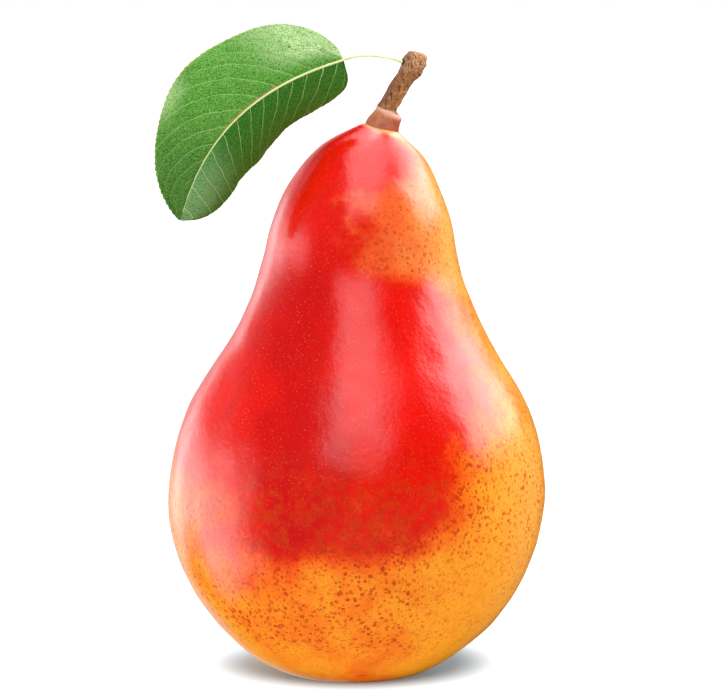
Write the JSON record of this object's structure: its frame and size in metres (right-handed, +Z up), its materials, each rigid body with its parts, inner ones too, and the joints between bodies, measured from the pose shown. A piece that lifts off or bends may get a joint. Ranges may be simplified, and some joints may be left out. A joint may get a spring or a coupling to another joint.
{
  "type": "pear",
  "caption": "Ripe pear with a wide belly and a narrow neck, a leaning woody stem and a leaf on a thin stalk, standing on its flat foot.",
  "frame": {"origin": "on the surface it stands on, under the middle of the whole thing's box", "axes": "+Z up along the fruit, +X towards the side that the stem leans to, -X towards the leaf, -Y towards the front"},
  "size_m": [0.0744, 0.0718, 0.125],
  "materials": {
    "fruit_skin": "satin",
    "stem_bark": "matte",
    "leaf_stalk": "satin",
    "leaf_blade": "satin",
    "dried_calyx": "matte"
  },
  "bodies": {
    "root": {"fruit": "fruit_skin", "stem": "stem_bark", "leaf_stalk": "leaf_stalk", "leaf_blade": "leaf_blade", "calyx": "dried_calyx"}
  },
  "joints": []
}
